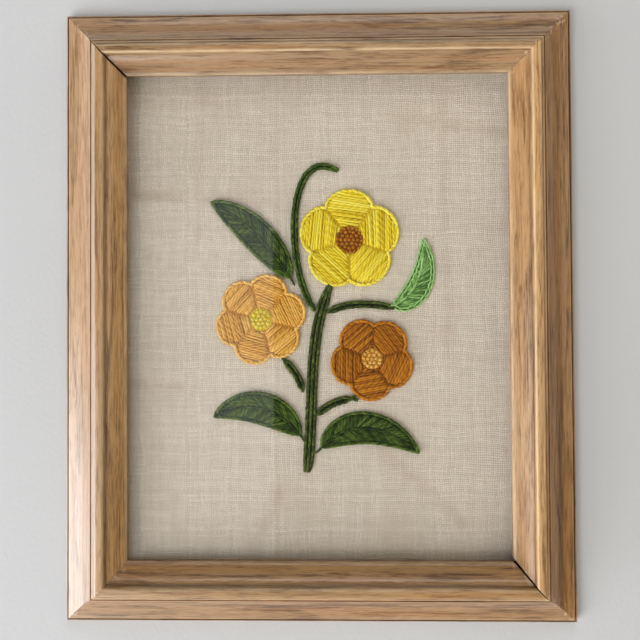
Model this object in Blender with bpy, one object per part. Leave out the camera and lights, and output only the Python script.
"""Wool embroidery on linen, under glass in a mitred wooden picture frame.

Metres, +Z up. The frame hangs on a wall that lies in the plane Y = 0 and faces -Y. The origin is on
the wall, at the middle of the top rail's back. Sizes below are in millimetres.
"""
import math

import bmesh
import bpy

MM = 0.001
CLEARANCE = 0.3

# Driving sizes of the frame. The opening is the usual one for an 8 by 10 inch picture.
SIGHT_WIDTH = 190.5
SIGHT_HEIGHT = 241.3
RAIL_WIDTH = 34.0
RABBET_WIDTH = 7.0
LIP_BACK = 9.5
SIGHT_FRONT = 12.3

OUTER_WIDTH = SIGHT_WIDTH + 2 * RAIL_WIDTH
OUTER_HEIGHT = SIGHT_HEIGHT + 2 * RAIL_WIDTH
BACK_FACE_WIDTH = RAIL_WIDTH - RABBET_WIDTH
CENTRE_Z = -(OUTER_HEIGHT - BACK_FACE_WIDTH) / 2

# What lies in the rabbet, as heights from the wall.
PANE_WIDTH = 203.2
PANE_HEIGHT = 254.0
GLASS_THICKNESS = 2.0
GLASS_BACK = LIP_BACK - CLEARANCE - GLASS_THICKNESS
CLOTH_FRONT = 4.9
CLOTH_THICKNESS = 1.3
BOARD_THICKNESS = 2.7
BOARD_BACK = CLOTH_FRONT - CLOTH_THICKNESS - CLEARANCE - BOARD_THICKNESS
STITCH_BACK = CLOTH_FRONT + CLEARANCE
STITCH_RISE = GLASS_BACK - CLEARANCE - STITCH_BACK

# The hollow on the moulding's outer face is one arc between these two points.
HOLLOW_START = (4.4, 6.5)
HOLLOW_END = (17.6, 19.3)
HOLLOW_TURN = math.radians(58)
HOLLOW_STEPS = 12

# The moulding before and after the hollow. Columns: distance in from the outer edge, height from wall.
OUTER_EDGE = (
    (0.0, 0.0), (0.0, 1.8), (0.35, 3.2), (1.1, 4.5), (2.2, 5.3),
    (2.5, 4.8), (2.9, 5.9),
)
BAND_AND_STEP = (
    (18.3, 19.6), (18.6, 19.0), (18.9, 19.8), (19.3, 20.3), (19.8, 20.4), (20.2, 20.2),
    (20.5, 19.7), (20.8, 20.6), (21.8, 22.0), (23.0, 23.0), (24.2, 23.4), (25.2, 23.0),
    (25.9, 22.2), (26.3, 21.2), (26.4, 20.3), (26.7, 19.8),
)
INNER_FACE = (
    (28.0, 18.9), (29.4, 17.4), (30.8, 15.6), (32.0, 13.9), (32.8, 12.9), (33.5, 12.45),
)

# Soft creases pressed into the cloth. Columns: x and z of one end and of the other, depth, half width.
CREASES = (
    (-97, 61, -20, 57, 0.16, 2.4),
    (-97, -34, -62, -36, 0.12, 2.8),
    (40, 100, 97, 92, 0.10, 3.0),
    (-58, 120, -61, 40, 0.10, 2.4),
    (62, 118, 66, -20, 0.08, 3.0),
    (-20, -88, -34, -120, 0.12, 3.4),
    (30, -66, 72, -104, 0.10, 3.2),
)
CLOTH_COLUMNS = 28
CLOTH_ROWS = 36
PUCKER_DEPTH = 0.10
PUCKER_REACH = 7.0

# Blossoms. Columns: name, centre x and z from the middle of the cloth, radius, petals, turn, material.
BLOSSOMS = (
    ("blossom_yellow", 16, 38, 26.0, 5, 90, "wool_yellow"),
    ("blossom_amber", -29, -2, 23.5, 6, 75, "wool_amber"),
    ("blossom_ochre", 27, -22, 21.5, 5, 50, "wool_ochre"),
)
PETAL_STEPS = 12
NOTCH_DEPTH = 0.19
PETAL_BLUNTNESS = 0.7
CREASE_ANGLE = 0.13
CREASE_DEPTH = 0.40

# From the rim of a blossom to its middle. Columns: part of the radius, part of the rise, petal shape.
# A petal shape of 1 follows the petals' outline, and 0 is a plain circle.
BLOSSOM_RINGS = (
    (1.00, 0.00, 1.0),
    (1.00, 0.50, 1.0),
    (0.965, 0.95, 1.0),
    (0.92, 1.00, 1.0),
    (0.87, 0.72, 1.0),
    (0.66, 0.90, 0.9),
    (0.42, 0.76, 0.5),
    (0.29, 0.58, 0.0),
    (0.25, 0.95, 0.0),
    (0.12, 1.00, 0.0),
)

# Leaves and stems follow a curve with four guide points, given from the middle of the cloth.
# Columns: name, guide points, half width, material.
LEAVES = (
    ("leaf_dark_upper", ((-14, 19), (-24.3, 35.6), (-38.5, 50.5), (-54, 57.5)), 8.5, "wool_dark_green"),
    ("leaf_dark_left", ((-9.6, -60), (-21, -45), (-38, -42), (-53, -51)), 8.5, "wool_dark_green"),
    ("leaf_dark_right", ((1.6, -66), (14, -52), (34, -54), (50, -69)), 8.5, "wool_dark_green"),
    ("leaf_light", ((38, 4.5), (49, 6), (57, 20), (53, 38)), 6.5, "wool_light_green"),
)
STEMS = (
    ("stem_main", ((-6, -79), (-2, -46), (-6, -14), (5.2, 13)), 2.9, "wool_olive"),
    ("stem_to_amber", ((-8.4, -36.5), (-9.8, -31.5), (-12.2, -27.7), (-16.2, -23.6)), 2.1, "wool_olive"),
    ("stem_to_ochre", ((0.4, -49), (5, -44.5), (10, -43), (15, -42.2)), 2.1, "wool_olive"),
    ("stem_to_light_leaf", ((6.2, 2), (13, 6), (25, 6.3), (36.2, 4)), 2.0, "wool_olive"),
    ("tendril", ((-2.9, 4.4), (-16.5, 24), (-16.5, 88), (10, 73)), 1.9, "wool_dark_green"),
)
LEAF_STATIONS = 20
STEM_STATIONS = 16
LEAF_TIP_HALF_WIDTH = 0.5
LEAF_BASE_SHIFT = 0.85
LEAF_ROUNDNESS = 0.75
STEM_END_WIDTH = 0.55
STEM_END_GROWTH = 6.0
RAIL_SMOOTH_BELOW = 24
LOFT_SMOOTH_BELOW = 40

# Across a leaf and a stem. Columns: place from one edge (-1) to the other (1), part of the rise.
LEAF_SECTION = (
    (-1.0, 0.0), (-1.0, 0.5), (-0.88, 0.95), (-0.70, 0.95), (-0.58, 0.70), (-0.30, 0.90),
    (-0.08, 0.66), (0.08, 0.66), (0.30, 0.90), (0.58, 0.70), (0.70, 0.95), (0.88, 0.95),
    (1.0, 0.5), (1.0, 0.0),
)
STEM_SECTION = (
    (-1.0, 0.0), (-1.0, 0.5), (-0.7, 0.92), (-0.2, 1.0), (0.2, 1.0), (0.7, 0.92),
    (1.0, 0.5), (1.0, 0.0),
)

# Columns: name, colour, roughness, metallic value.
MATERIALS = {
    "oak": ((0.42, 0.26, 0.13), 0.45, 0.0),
    "glass": ((0.80, 0.88, 0.86), 0.05, 0.0),
    "linen": ((0.53, 0.46, 0.36), 0.90, 0.0),
    "board": ((0.24, 0.16, 0.09), 0.80, 0.0),
    "wool_amber": ((0.55, 0.28, 0.07), 0.90, 0.0),
    "wool_yellow": ((0.68, 0.52, 0.04), 0.90, 0.0),
    "wool_ochre": ((0.36, 0.14, 0.01), 0.90, 0.0),
    "wool_dark_green": ((0.04, 0.09, 0.01), 0.90, 0.0),
    "wool_light_green": ((0.13, 0.40, 0.13), 0.90, 0.0),
    "wool_olive": ((0.05, 0.06, 0.01), 0.90, 0.0),
}


def clear_scene():
    for thing in list(bpy.data.objects):
        bpy.data.objects.remove(thing, do_unlink=True)


def make_materials():
    made = {}
    for name, (colour, roughness, metallic) in MATERIALS.items():
        material = bpy.data.materials.new(name)
        material.use_nodes = True
        shader = material.node_tree.nodes["Principled BSDF"]
        shader.inputs["Base Color"].default_value = (*colour, 1.0)
        shader.inputs["Roughness"].default_value = roughness
        shader.inputs["Metallic"].default_value = metallic
        made[name] = material
    return made


def place(x, height, z):
    """A point given from the middle of the opening and from the wall, in metres."""
    return (x * MM, -height * MM, (z + CENTRE_Z) * MM)


def add_object(name, shape, material, smooth_below=None):
    """Turn a finished bmesh into a named object, smooth across edges below the given angle."""
    bmesh.ops.recalc_face_normals(shape, faces=shape.faces)
    mesh = bpy.data.meshes.new(name)
    shape.to_mesh(mesh)
    shape.free()
    mesh.materials.append(material)
    if smooth_below is not None:
        mesh.shade_smooth()
        mesh.set_sharp_from_angle(angle=math.radians(smooth_below))
    thing = bpy.data.objects.new(name, mesh)
    bpy.context.scene.collection.objects.link(thing)
    return thing


def fan(shape, ring, tip_place):
    """Close an open ring of vertices with triangles that meet in one point."""
    tip = shape.verts.new(tip_place)
    for index, vertex in enumerate(ring):
        shape.faces.new((ring[index - 1], vertex, tip))


def middle(points):
    return tuple(sum(axis) / len(points) for axis in zip(*points))


def add_loft(name, rings, material, first_tip=None, last_tip=None):
    """One closed solid through closed rings of points, each end closed by a fan."""
    shape = bmesh.new()
    rows = [[shape.verts.new(point) for point in ring] for ring in rings]
    for before, after in zip(rows, rows[1:]):
        for index in range(len(before)):
            shape.faces.new((before[index - 1], before[index], after[index], after[index - 1]))
    fan(shape, rows[0], first_tip or middle(rings[0]))
    fan(shape, rows[-1], last_tip or middle(rings[-1]))
    return add_object(name, shape, material, smooth_below=LOFT_SMOOTH_BELOW)


def hollow_arc():
    """The concave arc of the outer face, which grows steeper towards the band."""
    run = HOLLOW_END[0] - HOLLOW_START[0]
    rise = HOLLOW_END[1] - HOLLOW_START[1]
    chord = math.hypot(run, rise)
    radius = chord / (2 * math.sin(HOLLOW_TURN / 2))
    heading = math.atan2(rise, run) - HOLLOW_TURN / 2
    centre = (
        HOLLOW_START[0] - radius * math.sin(heading),
        HOLLOW_START[1] + radius * math.cos(heading),
    )
    points = []
    for step in range(HOLLOW_STEPS + 1):
        angle = heading + HOLLOW_TURN * step / HOLLOW_STEPS
        points.append((centre[0] + radius * math.sin(angle), centre[1] - radius * math.cos(angle)))
    return tuple(points)


def moulding_profile():
    """The whole outline of the moulding, from the back of its outer edge round to the rabbet."""
    lip = (
        (RAIL_WIDTH, SIGHT_FRONT), (RAIL_WIDTH, LIP_BACK),
        (BACK_FACE_WIDTH, LIP_BACK), (BACK_FACE_WIDTH, 0.0),
    )
    return OUTER_EDGE + hollow_arc() + BAND_AND_STEP + INNER_FACE + lip


def add_rail(name, side, material):
    """One mitred length of the moulding. Side is top, bottom, left or right."""
    half_width = OUTER_WIDTH / 2
    half_height = OUTER_HEIGHT / 2
    mitre_gap = CLEARANCE * math.sqrt(2) / 2
    rings = []
    for end in (-1, 1):
        ring = []
        for inset, height in moulding_profile():
            if side in ("top", "bottom"):
                across = (half_height - inset) * (1 if side == "top" else -1)
                along = end * (half_width - inset - mitre_gap)
                ring.append(place(along, height, across))
            else:
                across = (half_width - inset) * (1 if side == "right" else -1)
                along = end * (half_height - inset - mitre_gap)
                ring.append(place(across, height, along))
        rings.append(ring)
    shape = bmesh.new()
    rows = [[shape.verts.new(point) for point in ring] for ring in rings]
    for index in range(len(rows[0])):
        shape.faces.new((rows[0][index - 1], rows[0][index], rows[1][index], rows[1][index - 1]))
    for row in rows:
        shape.faces.new(row)
    return add_object(name, shape, material, smooth_below=RAIL_SMOOTH_BELOW)


def add_panel(name, width, height, back, thickness, material):
    """A flat rectangular pane or board."""
    shape = bmesh.new()
    bmesh.ops.create_cube(shape, size=1.0)
    for vertex in shape.verts:
        x, y, z = vertex.co
        vertex.co = place(x * width, back + (0.5 - y) * thickness, z * height)
    return add_object(name, shape, material)


def crease_depth(x, z):
    """How far the cloth sinks at a point, from the pressed creases and from the pull of the wool."""
    sink = 0.0
    for x0, z0, x1, z1, depth, half_width in CREASES:
        run = (x1 - x0, z1 - z0)
        length = math.hypot(*run)
        along = ((x - x0) * run[0] + (z - z0) * run[1]) / length ** 2
        nearest = min(1.0, max(0.0, along))
        distance = math.hypot(x - x0 - nearest * run[0], z - z0 - nearest * run[1])
        sink = max(sink, depth * math.exp(-(distance / half_width) ** 2))
    for _, cx, cz, radius, petals, turn, _ in BLOSSOMS:
        angle = math.atan2(z - cz, x - cx) - math.radians(turn)
        outside = math.hypot(x - cx, z - cz) - radius
        ripple = 0.5 - 0.5 * math.cos(petals * angle)
        sink = max(sink, PUCKER_DEPTH * ripple * math.exp(-(outside / PUCKER_REACH) ** 2))
    return sink


def add_cloth(name, material):
    """The stretched cloth: a thin sheet with its creases in its front face."""
    shape = bmesh.new()
    front = []
    for row in range(CLOTH_ROWS + 1):
        line = []
        for column in range(CLOTH_COLUMNS + 1):
            x = PANE_WIDTH * (column / CLOTH_COLUMNS - 0.5)
            z = PANE_HEIGHT * (row / CLOTH_ROWS - 0.5)
            line.append(shape.verts.new(place(x, CLOTH_FRONT - crease_depth(x, z), z)))
        front.append(line)
    for below, above in zip(front, front[1:]):
        for column in range(CLOTH_COLUMNS):
            corners = (below[column], below[column + 1], above[column + 1], above[column])
            shape.faces.new(corners)
    rim = front[0][:-1] + [line[-1] for line in front[:-1]]
    rim += front[-1][:0:-1] + [line[0] for line in front[:0:-1]]
    back_y = -(CLOTH_FRONT - CLOTH_THICKNESS) * MM
    back = [shape.verts.new((vertex.co.x, back_y, vertex.co.z)) for vertex in rim]
    for index in range(len(rim)):
        shape.faces.new((rim[index - 1], rim[index], back[index], back[index - 1]))
    fan(shape, back, place(0, CLOTH_FRONT - CLOTH_THICKNESS, 0))
    return add_object(name, shape, material, smooth_below=LOFT_SMOOTH_BELOW)


def petal_radius(angle, petals):
    """The outline of a blossom as a part of its radius: 1 on a petal's axis, less in a notch."""
    return 1.0 - NOTCH_DEPTH * (1.0 - abs(math.cos(petals * angle / 2)) ** PETAL_BLUNTNESS)


def notch_nearness(angle, petals):
    """1 on the line between two petals, falling to 0 on either side."""
    pitch = 2 * math.pi / petals
    offset = (angle + pitch) % pitch - pitch / 2
    return math.exp(-(offset / CREASE_ANGLE) ** 2)


def add_blossom(name, cx, cz, radius, petals, turn, material):
    """A padded blossom: a raised rim, petals parted by valleys, and a round middle."""
    steps = petals * PETAL_STEPS
    rings = []
    for part, rise, shaped in BLOSSOM_RINGS:
        ring = []
        for step in range(steps):
            angle = 2 * math.pi * step / steps
            outline = 1.0 + shaped * (petal_radius(angle, petals) - 1.0)
            valley = 1.0 - CREASE_DEPTH * shaped * notch_nearness(angle, petals)
            reach = radius * part * outline
            heading = angle + math.radians(turn)
            x = cx + reach * math.cos(heading)
            z = cz + reach * math.sin(heading)
            ring.append(place(x, STITCH_BACK + STITCH_RISE * rise * valley, z))
        rings.append(ring)
    base = place(cx, STITCH_BACK, cz)
    top = place(cx, STITCH_BACK + STITCH_RISE, cz)
    return add_loft(name, rings, material, first_tip=base, last_tip=top)


def curve_point(guides, part):
    """A point on the smooth curve through the first and last guide, pulled by the two between."""
    weights = (
        (1 - part) ** 3, 3 * part * (1 - part) ** 2, 3 * part ** 2 * (1 - part), part ** 3,
    )
    return tuple(sum(w * guide[axis] for w, guide in zip(weights, guides)) for axis in (0, 1))


def curve_side(guides, part):
    """The direction across the curve, to its left."""
    step = 0.001
    x0, z0 = curve_point(guides, max(0.0, part - step))
    x1, z1 = curve_point(guides, min(1.0, part + step))
    length = math.hypot(x1 - x0, z1 - z0)
    return (-(z1 - z0) / length, (x1 - x0) / length)


def leaf_half_width(part, half_width):
    """A leaf is widest a little before its middle and narrow at both ends."""
    eased = part ** LEAF_BASE_SHIFT
    swell = (4 * eased * (1 - eased)) ** LEAF_ROUNDNESS
    return LEAF_TIP_HALF_WIDTH + (half_width - LEAF_TIP_HALF_WIDTH) * swell


def stem_half_width(part, half_width):
    """A stem keeps its width and rounds off at its ends."""
    end_distance = min(part, 1 - part)
    return half_width * min(1.0, STEM_END_WIDTH + STEM_END_GROWTH * end_distance)


def add_strip(name, guides, half_width, section, width_rule, stations, material):
    """A leaf or stem: a raised cross section carried along its curve."""
    rings = []
    for station in range(stations + 1):
        part = station / stations
        x, z = curve_point(guides, part)
        side_x, side_z = curve_side(guides, part)
        reach = width_rule(part, half_width)
        ring = []
        for across, rise in section:
            height = STITCH_BACK + STITCH_RISE * rise
            ring.append(place(x + across * reach * side_x, height, z + across * reach * side_z))
        rings.append(ring)
    return add_loft(name, rings, material)


def build():
    clear_scene()
    materials = make_materials()
    for side in ("top", "bottom", "left", "right"):
        add_rail("rail_" + side, side, materials["oak"])
    add_panel("glass_pane", PANE_WIDTH, PANE_HEIGHT, GLASS_BACK, GLASS_THICKNESS, materials["glass"])
    add_panel("backing_board", PANE_WIDTH, PANE_HEIGHT, BOARD_BACK, BOARD_THICKNESS, materials["board"])
    add_cloth("linen_cloth", materials["linen"])
    for name, cx, cz, radius, petals, turn, material in BLOSSOMS:
        add_blossom(name, cx, cz, radius, petals, turn, materials[material])
    for name, guides, half_width, material in LEAVES:
        add_strip(name, guides, half_width, LEAF_SECTION, leaf_half_width, LEAF_STATIONS,
                  materials[material])
    for name, guides, half_width, material in STEMS:
        add_strip(name, guides, half_width, STEM_SECTION, stem_half_width, STEM_STATIONS,
                  materials[material])


if __name__ == "__main__":
    build()
